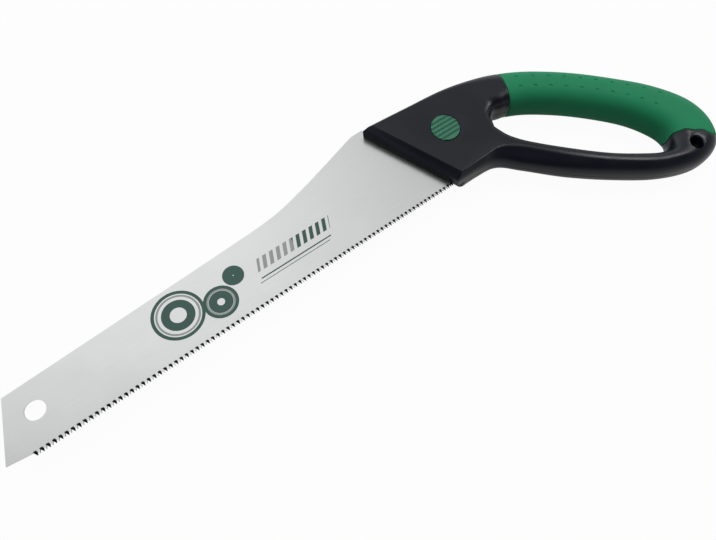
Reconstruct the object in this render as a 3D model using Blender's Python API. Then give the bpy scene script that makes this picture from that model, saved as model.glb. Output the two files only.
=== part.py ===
"""A Japanese pull saw for plastic pipe: a steel blade with a catch in a two-shell D-handle.

The saw lies on its side. +X runs along the teeth from the tip to the handle, +Y points to the
back of the blade, and +Z is the side of the release button. The shapes are drawn in the saw's
own drawing frame, which starts at the first tooth in the middle of the blade's thickness, and
one empty carries them so that the world origin is under the middle of the whole saw.
"""
import math

import bmesh
import bpy
from mathutils import Matrix, Vector
from mathutils.geometry import intersect_point_line

MM = 0.001  # the sizes below are in millimetres

# Fits
slide_gap = 0.3      # clearance round anything that slides, turns or is let in
parting_gap = 0.3    # between the flat faces of the two shells
chamfer = 0.4        # broken edges of the small turned pieces
overcut = 1.0        # a cutter runs this far past what it cuts

# Blade
blade_thickness = 0.6
tooth_pitch = 1.5
teeth_under_nose = 1.0       # the row of teeth may reach this far past the head's front edge
tooth_height = 1.6
heel_height = 3.0            # the blade's top corner stands this far above the head's
heel_round = 1.5             # rounding of that corner
tip_bottom = (-12.2, 2.5)
tip_top = (-0.6, 33.75)
back_end = (114.0, 40.0)     # the straight part of the back ends here
back_curve = [(155.0, 43.0), (180.0, 48.7), (199.0, 54.4), (218.0, 60.5), (226.5, 63.1)]
tip_hole_centre = (9.1, 19.2)
tip_hole_diameter = 10.0

# Tang, the narrow end of the blade inside the head
tang_bottom = 12.0
tang_top = 46.0
tang_end = 292.0

# Handle shells
wall = 2.5
head_half = 9.0              # half of the head's thickness
shoulder_half = 9.5
root_half = 11.0
grip_half = 12.5
corner_half = 11.0
arm_half = 9.5
head_edge = 2.0              # rounding of the head's rim
arm_edge = 8.0
grip_edge = 13.0
opening_edge = 6.0           # rounding of the opening's rim in the head
edge_power = 2.5             # 2 is an ellipse, more is squarer
least_edge = 0.6             # an edge that is drawn in keeps at least this rounding
front_top = (232.0, 60.5)    # the head's front edge runs through these two points
front_bottom = (259.7, -1.2)
nose_width = 5.5             # the front shell reaches this far past the back shell
nose_drop = 1.6              # fall of the bevel on the nose

# Grip
grip_skin = 2.3              # thickness of the soft sleeve
front_seam = 3.95            # stations where the sleeve starts and ends
rear_seam = 11.0
step_draft = 0.1             # lean of the shells' step at each end of the sleeve

# Hanging hole in the rear corner of the handle
corner_hole_centre = (413.5, -74.5)
corner_hole_diameter = 8.0
corner_hole_flare = 1.2
corner_boss_wall = 1.8

# Screws, put in from the back
screw_places = [(251.5, 51.0), (270.0, 6.0), (304.0, 44.5), (297.0, 4.5), (355.2, -50.5)]
screw_shank = 3.0
screw_head = 5.6
screw_head_height = 2.0
screw_sink = 3.0             # depth of the counterbore
screw_reach = 4.5            # length of thread in the front shell
screw_point = 1.2            # length of the tapered end
boss_wall = 1.6
boss_setback = 0.2           # the bosses stop this far short of the parting face

# Catch
button_centre = (276.4, 30.6)
button_diameter = 18.5
button_proud = 0.5
button_flange = 1.5          # the lip that keeps the button in, beyond its side
flange_height = 1.3
button_crown = 1.6           # thickness of the button's top
button_travel = 2.2
groove_count = 5
groove_margin = 1.2          # pitches left over at the button's edges
groove_width = 1.4
groove_depth = 0.5
socket_wall = 1.5            # wall of the socket that holds the plunger
socket_drop = 3.2            # the socket reaches this far below the flange's top
neck_diameter = 5.0
neck_grip = 3.4              # length of the neck inside the socket
collar_diameter = 10.0
lock_clearance = 1.0         # the pressed collar lies this far below the blade
collar_fall = 1.7            # the collar's underside, below the blade's middle
tail_diameter = 4.0

# Spring under the plunger
spring_wire = 0.7
spring_coil = 6.8            # diameter to the middle of the wire
spring_turns = 3.5
spring_points = 10           # points for each turn
spring_seat = 0.2            # clearance at each end
pocket_wall = 1.0            # what the spring's pocket leaves of the back wall

# Guide plates and stop pins
plate_thickness = 1.0
plate_start = 264.0
plate_margin = 5.0           # the plates reach this far past the tang's end
pin_diameter = 4.0
pin_offset = 11.0            # from the button's line to each pin
pin_boss_wall = 2.0
pin_depth = 3.2              # length of a pin inside each boss

# Smoothness
rows_per_station = 2
edge_steps = 4
round_steps = 28
small_steps = 16
notch_steps = 8
nearby = 0.01                # step along the stations that gives a path's direction
search_steps = 10            # sections tried between stations to find the one at a place

# Stations round the ring of the handle, from the head's front top clockwise to its front bottom:
# outer point, opening point, half thickness, outer edge and opening edge as (plan, height)
grip_round = (grip_edge, grip_half)
stations = [
    ((226.0, 59.0), (309.0, 19.0), head_half, (head_edge, head_edge), (5.0, 5.0)),
    ((262.0, 57.2), (310.0, 22.0), head_half, (head_edge, head_edge), (opening_edge, opening_edge)),
    ((294.0, 55.7), (314.0, 25.0), shoulder_half, (4.0, 4.0), (7.0, 7.0)),
    ((318.0, 52.0), (320.0, 23.5), root_half, (9.0, 9.0), (9.0, 9.0)),
    ((334.5, 47.0), (326.0, 21.5), grip_half - 0.5, (grip_edge, grip_half - 0.5), (12.0, 12.0)),
    ((355.0, 36.0), (339.5, 15.3), grip_half, grip_round, (12.0, grip_half)),
    ((378.0, 20.0), (359.5, 1.3), grip_half, grip_round, (12.0, grip_half)),
    ((400.0, 1.0), (379.0, -16.0), grip_half, grip_round, (12.0, grip_half)),
    ((420.5, -19.5), (394.0, -32.5), grip_half, grip_round, (12.0, grip_half)),
    ((435.0, -41.0), (402.5, -48.0), grip_half, (14.0, grip_half), (grip_edge, grip_half)),
    ((439.2, -60.0), (404.0, -57.0), grip_half - 0.5, (14.0, grip_half - 0.5), (13.0, 12.0)),
    ((434.2, -76.5), (401.5, -62.0), corner_half + 0.5, (14.0, corner_half), (13.0, corner_half)),
    ((422.5, -84.8), (396.5, -64.5), corner_half, (13.0, corner_half), (11.0, corner_half)),
    ((403.5, -85.0), (389.5, -63.5), corner_half - 0.5, (10.0, 10.0), (9.0, 10.0)),
    ((378.0, -75.0), (380.0, -58.5), arm_half, (arm_edge, arm_half), (8.0, arm_half)),
    ((351.5, -57.5), (358.6, -44.0), arm_half, (arm_edge, arm_half), (8.0, arm_half)),
    ((327.0, -37.0), (338.0, -26.0), arm_half, (arm_edge, arm_half), (8.0, arm_half)),
    ((306.5, -16.5), (320.5, -8.5), head_half, (7.0, 8.0), (8.0, 8.0)),
    ((294.0, -5.5), (310.5, 3.0), head_half, (4.0, 5.0), (7.0, 7.0)),
    ((278.0, -2.0), (307.0, 11.0), head_half, (1.5, 1.5), (opening_edge, opening_edge)),
    ((252.0, -2.0), (307.0, 15.0), head_half, (1.5, 1.5), (5.0, 5.0)),
]

# Levels that several pieces share
blade_face = blade_thickness / 2
plate_inner = blade_face + slide_gap
plate_outer = plate_inner + plate_thickness
shell_face = parting_gap / 2
boss_face = shell_face + boss_setback
head_inner = head_half - wall
flange_top = head_inner - slide_gap
socket_bottom = flange_top - socket_drop
pocket_floor = -head_half + pocket_wall
spring_bottom = pocket_floor + spring_seat
spring_top = -collar_fall - spring_seat
lock_hole = collar_diameter + 2 * slide_gap
collar_rise = button_travel - blade_face - lock_clearance
tail_bottom = pocket_floor + button_travel + slide_gap
pin_end = plate_outer + slide_gap + pin_depth


# Scene and collections
def clear_scene():
    for thing in list(bpy.data.objects):
        bpy.data.objects.remove(thing, do_unlink=True)


def new_collection(name):
    group = bpy.data.collections.new(name)
    bpy.context.scene.collection.children.link(group)
    return group


def new_material(name, colour, roughness, metallic=0.0):
    material = bpy.data.materials.new(name)
    material.use_nodes = True
    shader = material.node_tree.nodes["Principled BSDF"]
    shader.inputs["Base Color"].default_value = (*colour, 1.0)
    shader.inputs["Roughness"].default_value = roughness
    shader.inputs["Metallic"].default_value = metallic
    material.diffuse_color = (*colour, 1.0)
    return material


def add_object(name, work, group, material=None, place=(0.0, 0.0)):
    """Make an object of a bmesh in millimetres, with its own origin at the place."""
    bmesh.ops.recalc_face_normals(work, faces=work.faces)
    bmesh.ops.scale(work, vec=(MM, MM, MM), verts=work.verts)
    mesh = bpy.data.meshes.new(name)
    work.to_mesh(mesh)
    work.free()
    thing = bpy.data.objects.new(name, mesh)
    group.objects.link(thing)
    thing.parent = saw_frame
    thing.location = (place[0] * MM, place[1] * MM, 0.0)
    if material:
        mesh.materials.append(material)
    return thing


def add_guide(name, work, place=(0.0, 0.0)):
    guide = add_object(name, work, cutters, place=place)
    guide.hide_render = True
    guide.display_type = 'WIRE'
    return guide


def combine(target, guide, operation):
    boolean = target.modifiers.new(guide.name, 'BOOLEAN')
    boolean.operation = operation
    boolean.solver = 'EXACT'
    boolean.object = guide


# Simple solids, added to a bmesh
def add_cylinder(work, centre, radius, low, high, steps=round_steps, top_radius=None):
    top = radius if top_radius is None else top_radius
    middle = Matrix.Translation((centre[0], centre[1], (low + high) / 2))
    bmesh.ops.create_cone(work, cap_ends=True, segments=steps, radius1=radius, radius2=top,
                          depth=high - low, matrix=middle)


def add_box(work, low, high):
    middle = (Vector(low) + Vector(high)) / 2
    size = Vector(high) - Vector(low)
    scale = Matrix.Diagonal((*size, 1.0))
    bmesh.ops.create_cube(work, size=1.0, matrix=Matrix.Translation(middle) @ scale)


def extrude_outline(work, outline, low, high):
    """A plate of the outline, from low to high."""
    corners = [work.verts.new((x, y, low)) for x, y in outline]
    face = work.faces.new(corners)
    raised = bmesh.ops.extrude_face_region(work, geom=[face])
    lifted = [item for item in raised["geom"] if isinstance(item, bmesh.types.BMVert)]
    bmesh.ops.translate(work, vec=(0.0, 0.0, high - low), verts=lifted)


def arc(centre, radius, start, end, steps):
    """Points on an arc, both ends included, with the angles in degrees."""
    points = []
    for step in range(steps + 1):
        angle = math.radians(start + (end - start) * step / steps)
        points.append((centre[0] + radius * math.cos(angle), centre[1] + radius * math.sin(angle)))
    return points


def add_turned(work, profile, place=(0.0, 0.0), steps=round_steps):
    """A solid turned about the upright line at the place from (radius, height) points, top first."""
    rings = []
    for radius, height in profile:
        circle = arc(place, radius, 0, 360, steps)[:-1]
        rings.append([work.verts.new((x, y, height)) for x, y in circle])
    work.faces.new(rings[0])
    work.faces.new(rings[-1])
    for one, two in zip(rings, rings[1:]):
        for k in range(steps):
            after = (k + 1) % steps
            work.faces.new((one[k], two[k], two[after], one[after]))


# The front edge of the head as a line, with the distance behind it
front_along = (Vector(front_bottom) - Vector(front_top)).normalized()
front_back = Vector((-front_along.y, front_along.x))


def front_point(y, behind=0.0):
    """The point at height y on the line that lies so far behind the head's front edge."""
    start = Vector(front_top) + front_back * behind
    reach = (y - start.y) / front_along.y
    return (start.x + front_along.x * reach, y)


# The ring of the handle
def smooth(values, t):
    """A smooth curve through the values, read at t, where each whole number is one of them."""
    last = len(values) - 1
    k = min(int(t), last - 1)
    part = t - k
    two, three = values[k], values[k + 1]
    one = values[k - 1] if k > 0 else 2 * two - three
    four = values[k + 2] if k + 2 <= last else 2 * three - two
    return 0.5 * (2 * two + (three - one) * part + (2 * one - 5 * two + 4 * three - four) * part ** 2
                  + (3 * two - one - 3 * three + four) * part ** 3)


outer_path = [Vector(station[0]) for station in stations]
opening_path = [Vector(station[1]) for station in stations]
half_path = [station[2] for station in stations]
outer_edges = [Vector(station[3]) for station in stations]
opening_edges = [Vector(station[4]) for station in stations]


def station_step(t, distance):
    """The change of t that moves the middle of the section by the distance."""
    ahead = smooth(outer_path, t + nearby) + smooth(opening_path, t + nearby)
    behind = smooth(outer_path, t - nearby) + smooth(opening_path, t - nearby)
    return distance * 2 * nearby / ((ahead - behind).length / 2)


def lean_of(path, t, across):
    """How square the section's line stands to the path at t: 1 is square."""
    along = (smooth(path, t + nearby) - smooth(path, t - nearby)).normalized()
    return max(abs(across.cross(along)), 0.3)


def rounded(edge, inset, half, lean, low):
    """Plan reach and rise of a rounded edge that is drawn in, on a row that leans to its path."""
    reach = max(edge.x - inset, least_edge) / lean
    rise = min(max(edge.y - inset, least_edge), half - max(low, 0.0) - least_edge)
    return reach, rise


def quarter(reach, rise, half):
    """(run, height) points of a rounded edge, from its side to its top."""
    points = []
    for step in range(edge_steps + 1):
        angle = math.pi / 2 * step / edge_steps
        run = reach * (1 - math.cos(angle) ** (2 / edge_power))
        points.append((run, half - rise + rise * math.sin(angle) ** (2 / edge_power)))
    return points


def section(t, inset, low):
    """The upper half of the section at t, drawn in by the inset, from low to low."""
    outer = smooth(outer_path, t)
    opening = smooth(opening_path, t)
    across = (opening - outer).normalized()
    outer_lean = lean_of(outer_path, t, across)
    opening_lean = lean_of(opening_path, t, across)
    outer += across * inset / outer_lean
    opening -= across * inset / opening_lean
    width = (opening - outer).length
    half = smooth(half_path, t) - inset
    outer_reach, outer_rise = rounded(smooth(outer_edges, t), inset, half, outer_lean, low)
    opening_reach, opening_rise = rounded(smooth(opening_edges, t), inset, half, opening_lean, low)
    fit = min(1.0, width / (outer_reach + opening_reach + least_edge))
    flat = [(0.0, low)]
    flat += quarter(outer_reach * fit, outer_rise, half)
    flat += [(width - run, z) for run, z in reversed(quarter(opening_reach * fit, opening_rise, half))]
    flat.append((width, low))
    return [(outer.x + across.x * run, outer.y + across.y * run, height) for run, height in flat]


def join_rows(work, rows, closed):
    """Faces between rows of points, each row a loop, with flat ends unless the rows close."""
    rings = [[work.verts.new(point) for point in row] for row in rows]
    count = len(rings[0])
    pairs = list(zip(rings, rings[1:]))
    if closed:
        pairs.append((rings[-1], rings[0]))
    else:
        work.faces.new(rings[0])
        work.faces.new(rings[-1])
    for one, two in pairs:
        for k in range(count):
            after = (k + 1) % count
            work.faces.new((one[k], two[k], two[after], one[after]))


def slice_off(work, point, normal):
    """Cut away what lies on the side the normal points to, and close the cut."""
    geometry = list(work.verts) + list(work.edges) + list(work.faces)
    cut = bmesh.ops.bisect_plane(work, geom=geometry, plane_co=point, plane_no=normal,
                                 clear_outer=True)
    edges = [item for item in cut["geom_cut"] if isinstance(item, bmesh.types.BMEdge)]
    bmesh.ops.edgeloop_fill(work, edges=edges)


def half_ring(side, inset, low, recess, seam_shift, row_shift=0.0):
    """Half of the handle as a solid: side is 1 for the button's half and -1 for the other."""
    front = front_seam - station_step(front_seam, seam_shift)
    rear = rear_seam + station_step(rear_seam, seam_shift)
    count = int((len(stations) - 1) * rows_per_station + 1 - row_shift)
    plain = [(k + row_shift) / rows_per_station for k in range(count)]
    plan = [(t, inset + (recess if front < t < rear else 0.0)) for t in plain
            if abs(t - front) > 0.05 and abs(t - rear) > 0.05]
    plan += [(front, inset), (front + station_step(front, step_draft), inset + recess),
             (rear - station_step(rear, step_draft), inset + recess), (rear, inset)]
    plan.sort()
    work = bmesh.new()
    join_rows(work, [section(t, draw_in, low) for t, draw_in in plan], closed=True)
    behind = inset if side > 0 else nose_width + inset
    start = Vector(front_top) + front_back * behind
    slice_off(work, (*start, 0.0), (*-front_back, 0.0))
    if side > 0:
        rim = Vector((*start, head_half - nose_drop - inset))
        slope = Vector((*(-front_back * nose_drop), nose_width))
        slice_off(work, rim, slope)
    bmesh.ops.scale(work, vec=(1.0, 1.0, side), verts=work.verts)
    return work


def boss_radius(bore, thickness):
    """Outside radius of a boss with the wall round a clearance bore."""
    return bore / 2 + slide_gap + thickness


def pin_places():
    return [(tang_end, button_centre[1] + pin_offset), (tang_end, button_centre[1] - pin_offset)]


def half_thickness_at(place):
    """Half of the handle's thickness in the section that runs past the place."""
    def distance(t):
        outer, opening = smooth(outer_path, t), smooth(opening_path, t)
        near, part = intersect_point_line(Vector(place), outer, opening)
        if part < 0.0 or part > 1.0:
            near = outer if part < 0.0 else opening
        return (Vector(place) - near.to_2d()).length

    steps = (len(stations) - 1) * search_steps
    return smooth(half_path, min((k / search_steps for k in range(steps + 1)), key=distance))


def shell_bosses(side):
    """Everything that stands on the inside of one shell."""
    work = bmesh.new()
    for place in screw_places:
        bore = screw_shank if side > 0 else screw_head
        top = half_thickness_at(place) - wall / 2
        add_cylinder(work, place, boss_radius(bore, boss_wall), boss_face, top, small_steps)
    for place in pin_places():
        top = half_thickness_at(place) - wall / 2
        radius = boss_radius(pin_diameter, pin_boss_wall)
        add_cylinder(work, place, radius, plate_outer + slide_gap, top, small_steps)
    corner = boss_radius(corner_hole_diameter, corner_boss_wall) - slide_gap
    add_cylinder(work, corner_hole_centre, corner, boss_face, corner_half - wall / 2)
    bmesh.ops.scale(work, vec=(1.0, 1.0, side), verts=work.verts)
    return work


def shell_holes(side):
    """Everything that is cut out of one shell after its bosses are on."""
    work = bmesh.new()
    bore = screw_shank / 2 + slide_gap
    head_bore = screw_head / 2 + slide_gap
    for place in screw_places:
        if side > 0:
            profile = [(bore, shell_face + screw_reach + slide_gap), (bore, -overcut)]
        else:
            outside = half_thickness_at(place) + overcut
            shelf = half_thickness_at(place) - screw_sink
            profile = [(head_bore, outside), (head_bore, shelf), (bore, shelf), (bore, -overcut)]
        add_turned(work, profile, place, small_steps)
    for place in pin_places():
        top = pin_end + slide_gap
        add_cylinder(work, place, pin_diameter / 2 + slide_gap, 0.0, top, small_steps)
    bmesh.ops.scale(work, vec=(1.0, 1.0, side), verts=work.verts)
    return work


def corner_hole(side):
    """The hole that the saw hangs on, flared where it comes out."""
    work = bmesh.new()
    radius = corner_hole_diameter / 2
    flare = radius + corner_hole_flare
    mouth = corner_half - corner_hole_flare
    profile = [(flare + overcut, corner_half + overcut), (flare, corner_half), (radius, mouth),
               (radius, -overcut)]
    add_turned(work, profile, corner_hole_centre)
    bmesh.ops.scale(work, vec=(1.0, 1.0, side), verts=work.verts)
    return work


def nose_slot():
    """The room under the nose, over the whole of the head's front, where the blade's heel lies."""
    work = bmesh.new()
    bottom = front_bottom[1] - head_half
    top = front_top[1] + head_half
    reach = nose_width + slide_gap
    outline = [front_point(bottom, -overcut), front_point(bottom, reach),
               front_point(top, reach), front_point(top, -overcut)]
    extrude_outline(work, outline, -overcut, plate_inner)
    return work


def tang_slot(side):
    """The slot in the head's front wall that the tang goes through."""
    work = bmesh.new()
    bottom, top = tang_bottom - slide_gap, tang_top + slide_gap
    reach = nose_width + 2 * wall
    outline = [front_point(bottom, -overcut), front_point(bottom, reach),
               front_point(top, reach), front_point(top, -overcut)]
    extrude_outline(work, outline, -overcut, plate_inner)
    bmesh.ops.scale(work, vec=(1.0, 1.0, side), verts=work.verts)
    return work


def build_shell(name, side):
    step = grip_skin + slide_gap
    shell = add_object(name, half_ring(side, 0.0, shell_face, step, 0.0), parts, black_plastic)
    hollow = half_ring(side, wall, -overcut, step, wall, 0.5)
    combine(shell, add_guide(name + "_hollow", hollow), 'DIFFERENCE')
    combine(shell, add_guide(name + "_bosses", shell_bosses(side)), 'UNION')
    combine(shell, add_guide(name + "_holes", shell_holes(side)), 'DIFFERENCE')
    combine(shell, add_guide(name + "_corner_hole", corner_hole(side)), 'DIFFERENCE')
    if side > 0:
        combine(shell, add_guide(name + "_nose_slot", nose_slot()), 'DIFFERENCE')
        button_hole = bmesh.new()
        radius = button_diameter / 2 + slide_gap
        add_cylinder(button_hole, button_centre, radius, flange_top, head_half + overcut)
        combine(shell, add_guide(name + "_button_hole", button_hole), 'DIFFERENCE')
    else:
        pocket = bmesh.new()
        radius = (spring_coil + spring_wire) / 2 + 2 * slide_gap
        add_cylinder(pocket, button_centre, radius, pocket_floor, -head_inner + overcut)
        combine(shell, add_guide(name + "_spring_pocket", pocket), 'DIFFERENCE')
    combine(shell, add_guide(name + "_tang_slot", tang_slot(side)), 'DIFFERENCE')
    return shell


# Soft sleeve round the grip
def sleeve_rows(inset, start, end):
    """Whole sections of the grip from start to end, drawn in by the inset."""
    count = int((end - start) * rows_per_station) + 1
    rows = []
    for k in range(count + 1):
        upper = section(start + (end - start) * k / count, inset, 0.0)
        lower = [(x, y, -z) for x, y, z in reversed(upper[1:-1])]
        rows.append(upper + lower)
    return rows


def build_sleeve():
    start = front_seam + station_step(front_seam, slide_gap)
    end = rear_seam - station_step(rear_seam, slide_gap)
    outside = bmesh.new()
    join_rows(outside, sleeve_rows(0.0, start, end), closed=False)
    sleeve = add_object("grip_sleeve", outside, parts, green_rubber)
    bore = bmesh.new()
    start -= station_step(start, overcut)
    end += station_step(end, overcut)
    join_rows(bore, sleeve_rows(grip_skin, start, end), closed=False)
    combine(sleeve, add_guide("grip_sleeve_bore", bore), 'DIFFERENCE')
    return sleeve


# Blade
def tooth_line():
    """From the tip to the heel: a gullet and a sharp point for each tooth that fits."""
    room = front_point(tooth_height / 2)[0] + teeth_under_nose
    tooth_count = int(room / tooth_pitch)
    points = []
    for k in range(tooth_count):
        start = k * tooth_pitch
        points.append((start, tooth_height / 2))
        points.append((start + tooth_pitch / 2, -tooth_height / 2))
    points.append((tooth_count * tooth_pitch, tooth_height / 2))
    return points


def blade_back():
    """From the heel's corner on the head back to the tip, along the curved back."""
    curve = [Vector(point) for point in [tip_top, back_end, *back_curve]]
    points = []
    for step in range(4 * (len(curve) - 2), -1, -1):
        points.append(tuple(smooth(curve[1:], step / 4)))
    return points + [tip_top]


def notch(place):
    """Half round cut in the tang's end for a stop pin, from top to bottom."""
    return arc(place, pin_diameter / 2 + slide_gap, 90, 270, notch_steps)


def blade_outline():
    """Along the teeth, up the shoulder on the head, round the tang and back along the back."""
    shoulder = nose_width - slide_gap
    heel_top = front_top[1] + heel_height
    slot = neck_diameter / 2 + slide_gap
    spread = math.degrees(math.asin(slot / (lock_hole / 2)))
    upper, lower = pin_places()
    outline = [tip_bottom, *tooth_line()]
    outline.append(front_point(tooth_height / 2, shoulder))
    outline.append(front_point(tang_bottom, shoulder))
    outline.append((tang_end, tang_bottom))
    outline += list(reversed(notch(lower)))
    outline.append((tang_end, button_centre[1] - slot))
    outline += list(reversed(arc(button_centre, lock_hole / 2, spread, 360 - spread, round_steps)))
    outline.append((tang_end, button_centre[1] + slot))
    outline += list(reversed(notch(upper)))
    outline.append((tang_end, tang_top))
    outline.append(front_point(tang_top, shoulder))
    outline.append(front_point(heel_top - heel_round, shoulder))
    outline.append(front_point(heel_top, shoulder - heel_round))
    return outline + blade_back()


def build_blade():
    work = bmesh.new()
    extrude_outline(work, blade_outline(), -blade_face, blade_face)
    blade = add_object("blade", work, parts, steel)
    hole = bmesh.new()
    add_cylinder(hole, tip_hole_centre, tip_hole_diameter / 2, -overcut, overcut)
    combine(blade, add_guide("blade_tip_hole", hole), 'DIFFERENCE')
    return blade


# Catch
def build_button():
    work = bmesh.new()
    radius = button_diameter / 2
    top = head_half + button_proud
    flange = radius + slide_gap + button_flange
    flange_bottom = flange_top - flange_height
    socket = boss_radius(neck_diameter, socket_wall)
    hollow = radius - socket_wall
    ceiling = top - groove_depth - button_crown
    profile = [(radius - chamfer, top), (radius, top - chamfer), (radius, flange_top),
               (flange, flange_top), (flange, flange_bottom), (hollow, flange_bottom),
               (hollow, ceiling), (socket, ceiling), (socket, socket_bottom)]
    add_turned(work, profile)
    button = add_object("release_button", work, parts, green_plastic, button_centre)
    bore = bmesh.new()
    depth = socket_bottom + neck_grip + slide_gap
    add_cylinder(bore, (0.0, 0.0), neck_diameter / 2 + slide_gap, socket_bottom - overcut, depth)
    combine(button, add_guide("release_button_bore", bore, button_centre), 'DIFFERENCE')
    grooves = bmesh.new()
    pitch = button_diameter / (groove_count + groove_margin)
    for k in range(groove_count):
        y = (k - (groove_count - 1) / 2) * pitch
        add_box(grooves, (-radius - overcut, y - groove_width / 2, top - groove_depth),
                (radius + overcut, y + groove_width / 2, top + overcut))
    combine(button, add_guide("release_button_grooves", grooves, button_centre), 'DIFFERENCE')
    return button


def build_plunger():
    work = bmesh.new()
    neck, collar, tail = neck_diameter / 2, collar_diameter / 2, tail_diameter / 2
    neck_top = socket_bottom + neck_grip
    profile = [(neck - chamfer, neck_top), (neck, neck_top - chamfer), (neck, collar_rise),
               (collar - chamfer, collar_rise), (collar, collar_rise - chamfer),
               (collar, -collar_fall), (tail, -collar_fall), (tail, tail_bottom + chamfer),
               (tail - chamfer, tail_bottom)]
    add_turned(work, profile)
    return add_object("lock_plunger", work, parts, steel_dark, button_centre)


def build_spring():
    """One unbroken helix between the pocket's floor and the plunger's collar."""
    low = spring_bottom + spring_wire / 2
    high = spring_top - spring_wire / 2
    count = int(spring_turns * spring_points) + 1
    route = bpy.data.curves.new("spring_route", 'CURVE')
    route.dimensions = '3D'
    route.bevel_depth = spring_wire / 2 * MM
    route.bevel_resolution = 1
    route.use_fill_caps = True
    line = route.splines.new('POLY')
    line.points.add(count - 1)
    for k, point in enumerate(line.points):
        angle = 2 * math.pi * k / spring_points
        x, y = spring_coil / 2 * math.cos(angle), spring_coil / 2 * math.sin(angle)
        z = low + (high - low) * k / (count - 1)
        point.co = (x * MM, y * MM, z * MM, 1.0)
    spring = bpy.data.objects.new("button_spring", route)
    parts.objects.link(spring)
    spring.parent = saw_frame
    spring.location = (button_centre[0] * MM, button_centre[1] * MM, 0.0)
    route.materials.append(spring_steel)
    rise = (high - low) / spring_turns
    print("button_spring: least gap between turns %.2f mm" % (rise - spring_wire))
    return spring


# Pieces that hold the tang
def build_plate(name, side):
    work = bmesh.new()
    outline = [(plate_start, tang_bottom), (tang_end + plate_margin, tang_bottom),
               (tang_end + plate_margin, tang_top), (plate_start, tang_top)]
    extrude_outline(work, outline, plate_inner, plate_outer)
    bmesh.ops.scale(work, vec=(1.0, 1.0, side), verts=work.verts)
    plate = add_object(name, work, parts, steel_dark)
    holes = bmesh.new()
    reach = plate_outer + overcut
    add_cylinder(holes, button_centre, lock_hole / 2, -reach, reach)
    for place in pin_places():
        add_cylinder(holes, place, pin_diameter / 2 + slide_gap, -reach, reach, small_steps)
    combine(plate, add_guide(name + "_holes", holes), 'DIFFERENCE')
    return plate


def build_pin(name, place):
    work = bmesh.new()
    add_cylinder(work, (0.0, 0.0), pin_diameter / 2, -pin_end, pin_end, small_steps)
    return add_object(name, work, parts, steel_dark, place)


def build_screw(name, place):
    work = bmesh.new()
    head, shank = screw_head / 2, screw_shank / 2
    tip = shell_face + screw_reach
    seat = screw_sink - half_thickness_at(place) - slide_gap
    bottom = seat - screw_head_height
    profile = [(shank / 2, tip), (shank, tip - screw_point), (shank, seat), (head, seat),
               (head, bottom + chamfer), (head - chamfer, bottom)]
    add_turned(work, profile, steps=small_steps)
    return add_object(name, work, parts, steel_dark, place)


def stand_on_origin():
    """Move the drawing frame so that the world origin is under the middle of the saw."""
    bpy.context.view_layer.update()
    graph = bpy.context.evaluated_depsgraph_get()
    corners = []
    for thing in parts.objects:
        if thing.type == 'EMPTY':
            continue
        solid = thing.evaluated_get(graph)
        corners += [solid.matrix_world @ vertex.co for vertex in solid.to_mesh().vertices]
        solid.to_mesh_clear()
    low = Vector([min(corner[k] for corner in corners) for k in range(3)])
    high = Vector([max(corner[k] for corner in corners) for k in range(3)])
    saw_frame.location = (-(low.x + high.x) / 2, -(low.y + high.y) / 2, -low.z)
    print("saw_frame at", [round(value / MM, 3) for value in saw_frame.location], "mm")
    print("saw measures", [round((high - low)[k] / MM, 3) for k in range(3)], "mm")


clear_scene()
parts = new_collection("japanese_saw")
cutters = new_collection("cutters")
saw_frame = bpy.data.objects.new("saw_frame", None)
parts.objects.link(saw_frame)

steel = new_material("satin_blade_steel", (0.62, 0.63, 0.62), 0.35, 1.0)
steel_dark = new_material("plated_steel", (0.45, 0.45, 0.46), 0.4, 1.0)
spring_steel = new_material("spring_wire", (0.35, 0.35, 0.36), 0.35, 1.0)
black_plastic = new_material("black_abs", (0.018, 0.02, 0.022), 0.45)
green_rubber = new_material("green_soft_grip", (0.02, 0.22, 0.1), 0.6)
green_plastic = new_material("green_button_plastic", (0.05, 0.23, 0.14), 0.45)

build_blade()
build_shell("handle_shell_front", 1)
build_shell("handle_shell_back", -1)
build_sleeve()
build_button()
build_plunger()
build_spring()
build_plate("guide_plate_front", 1)
build_plate("guide_plate_back", -1)
for number, place in enumerate(pin_places(), 1):
    build_pin("stop_pin_%d" % number, place)
for number, place in enumerate(screw_places, 1):
    build_screw("shell_screw_%d" % number, place)
for thing in list(parts.objects):
    if thing.type == 'MESH':
        thing.data.shade_smooth()
        thing.data.set_sharp_from_angle(angle=math.radians(30))
stand_on_origin()
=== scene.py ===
import math

import bmesh
import bpy
from mathutils import Matrix, Vector


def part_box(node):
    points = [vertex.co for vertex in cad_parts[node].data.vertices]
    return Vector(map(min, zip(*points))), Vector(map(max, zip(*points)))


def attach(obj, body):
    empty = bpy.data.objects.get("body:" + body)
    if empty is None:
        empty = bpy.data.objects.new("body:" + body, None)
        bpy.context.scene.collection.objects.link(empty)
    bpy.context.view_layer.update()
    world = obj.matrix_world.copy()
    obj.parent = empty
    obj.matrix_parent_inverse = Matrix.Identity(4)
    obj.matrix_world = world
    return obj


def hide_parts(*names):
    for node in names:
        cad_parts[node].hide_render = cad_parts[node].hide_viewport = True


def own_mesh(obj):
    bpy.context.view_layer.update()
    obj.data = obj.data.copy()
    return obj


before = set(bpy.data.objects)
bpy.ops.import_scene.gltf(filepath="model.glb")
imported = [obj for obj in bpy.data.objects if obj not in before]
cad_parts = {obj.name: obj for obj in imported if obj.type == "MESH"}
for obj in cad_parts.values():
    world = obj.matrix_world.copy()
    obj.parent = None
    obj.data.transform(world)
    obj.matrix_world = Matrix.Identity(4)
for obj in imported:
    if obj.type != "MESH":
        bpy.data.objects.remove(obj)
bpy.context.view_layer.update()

print("frame loaded:", len(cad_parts), "nodes")

mm = 0.001  # pieces are drawn in millimetres

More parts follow.
